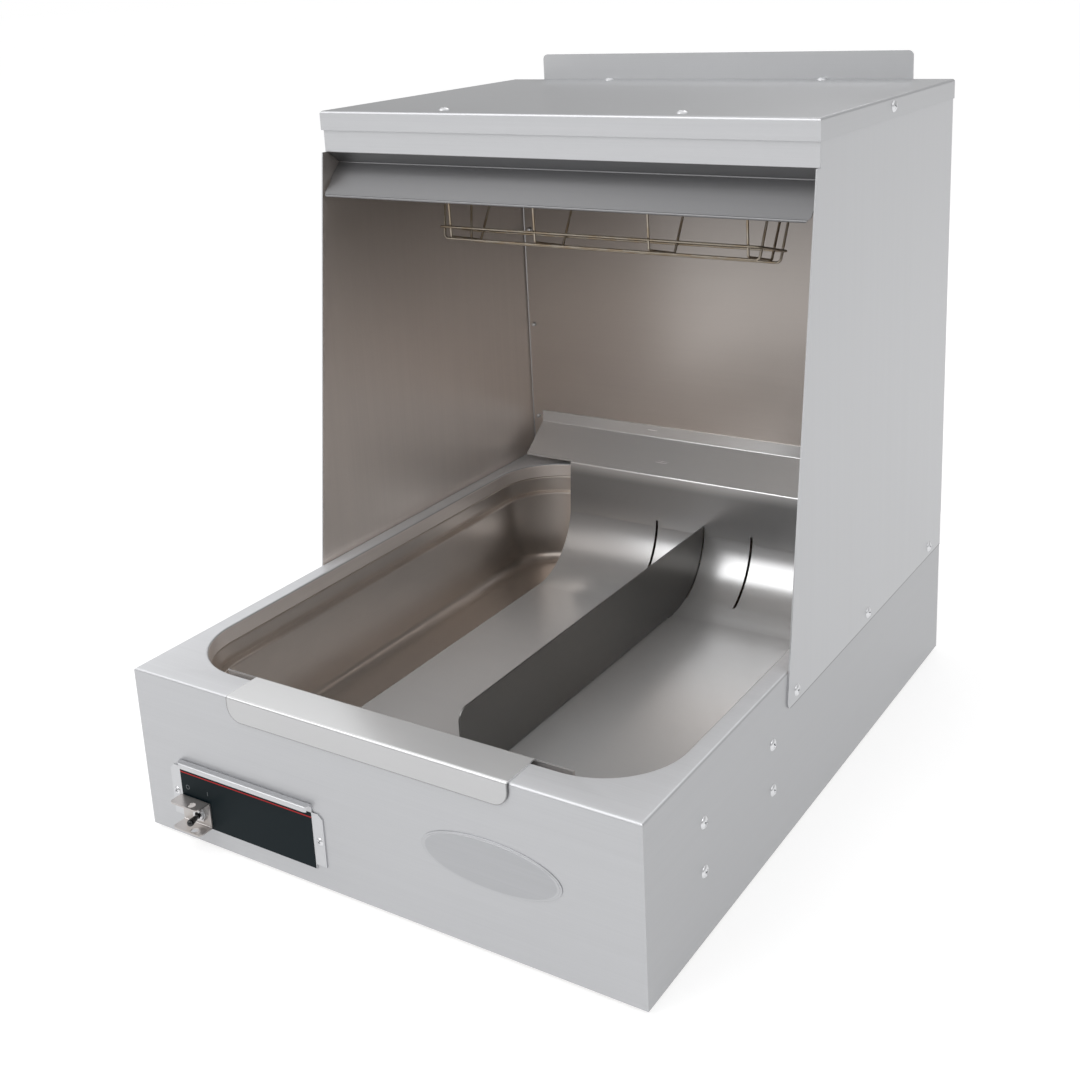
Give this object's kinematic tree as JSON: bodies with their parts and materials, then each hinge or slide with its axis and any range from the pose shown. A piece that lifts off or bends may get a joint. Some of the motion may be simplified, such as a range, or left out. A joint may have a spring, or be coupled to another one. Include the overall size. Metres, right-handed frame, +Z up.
{
  "type": "countertop fry holding station",
  "caption": "Countertop holding station for hot fried food: a heated well with a lift-out divided insert under an open sheet-metal hood with a ceramic heater and wire guard.",
  "frame": {"origin": "on the surface it stands on, under the middle of the whole part's bounding box", "axes": "+Z up, +X towards the right side seen from the front, +Y from the control face towards the back"},
  "size_m": [0.5602, 0.7496, 0.688],
  "materials": {
    "base_shell": "brushed stainless steel",
    "base_rear_panel": "brushed stainless steel",
    "bottom_cover": "mill finish steel",
    "feet": "black rubber",
    "bottom_screws": "bright stainless steel",
    "base_side_screws": "bright stainless steel",
    "rear_screws": "bright stainless steel",
    "pan": "drawn stainless steel",
    "pan_supports": "mill finish steel",
    "blanket_heater": "silicone heating blanket",
    "insulation_board": "mineral wool board",
    "insulation_tray": "mill finish steel",
    "support_channels": "mill finish steel",
    "thermostat": "pressed aluminium",
    "terminal_block": "ivory moulded plastic",
    "cord_bushing": "black rubber",
    "insert": "bright stainless steel",
    "divider": "stainless steel",
    "left_side_panel": "brushed stainless steel",
    "right_side_panel": "brushed stainless steel",
    "panel_screws": "bright stainless steel",
    "back_panel": "brushed stainless steel",
    "rear_top_angle": "mill finish steel",
    "wire_channel": "brushed stainless steel",
    "hood_cover": "brushed stainless steel",
    "hood_top_screws": "bright stainless steel",
    "hood_side_screws": "bright stainless steel",
    "fascia": "brushed stainless steel",
    "deflector": "dull stainless steel",
    "hood_ceiling": "mill finish steel",
    "reflector": "bright anodised aluminium",
    "reflector_ends": "mill finish steel",
    "hanger_screws": "bright stainless steel",
    "ceramic_elements": null,
    "element_clips": "bright stainless steel",
    "wire_guard": "plated wire, heat tinted",
    "control_plate": "bright stainless steel",
    "control_label": "near black film label",
    "control_screws": "bright stainless steel",
    "switch_guard": "stainless steel",
    "switch_body": "dark moulded plastic",
    "switch_nut": "plated",
    "switch_lever": "black",
    "oval_plate": "brushed plate"
  },
  "bodies": {
    "station": {"base_shell": "base_shell", "base_rear_panel": "base_rear_panel", "bottom_cover": "bottom_cover", "feet": "feet", "bottom_screws": "bottom_screws", "base_side_screws": "base_side_screws", "rear_screws": "rear_screws", "pan": "pan", "pan_supports": "pan_supports", "blanket_heater": "blanket_heater", "insulation_board": "insulation_board", "insulation_tray": "insulation_tray", "support_channels": "support_channels", "thermostat": "thermostat", "terminal_block": "terminal_block", "cord_bushing": "cord_bushing", "left_side_panel": "left_side_panel", "right_side_panel": "right_side_panel", "panel_screws": "panel_screws", "back_panel": "back_panel", "rear_top_angle": "rear_top_angle", "wire_channel": "wire_channel", "hood_cover": "hood_cover", "hood_top_screws": "hood_top_screws", "hood_side_screws": "hood_side_screws", "fascia": "fascia", "deflector": "deflector", "hood_ceiling": "hood_ceiling", "reflector": "reflector", "reflector_ends": "reflector_ends", "hanger_screws": "hanger_screws", "ceramic_elements": "ceramic_elements", "element_clips": "element_clips", "wire_guard": "wire_guard", "control_plate": "control_plate", "control_label": "control_label", "control_screws": "control_screws", "switch_guard": "switch_guard", "switch_body": "switch_body", "switch_nut": "switch_nut", "oval_plate": "oval_plate"},
    "insert_body": {"insert": "insert"},
    "divider_body": {"divider": "divider"},
    "lever_body": {"switch_lever": "switch_lever"}
  },
  "joints": [
    {"name": "insert_lift", "type": "slide", "parent": "station", "child": "insert_body", "axis": [0, 0, 1], "range_m": [0, 0.15]},
    {"name": "divider_lift", "type": "slide", "parent": "insert_body", "child": "divider_body", "axis": [0, 0, 1], "range_m": [0, 0.15]},
    {"name": "switch_throw", "type": "hinge", "parent": "station", "child": "lever_body", "pos_m": [-0.203, -0.35627, 0.0377], "axis": [0, 0, 1], "range_deg": [-24, 0]}
  ]
}
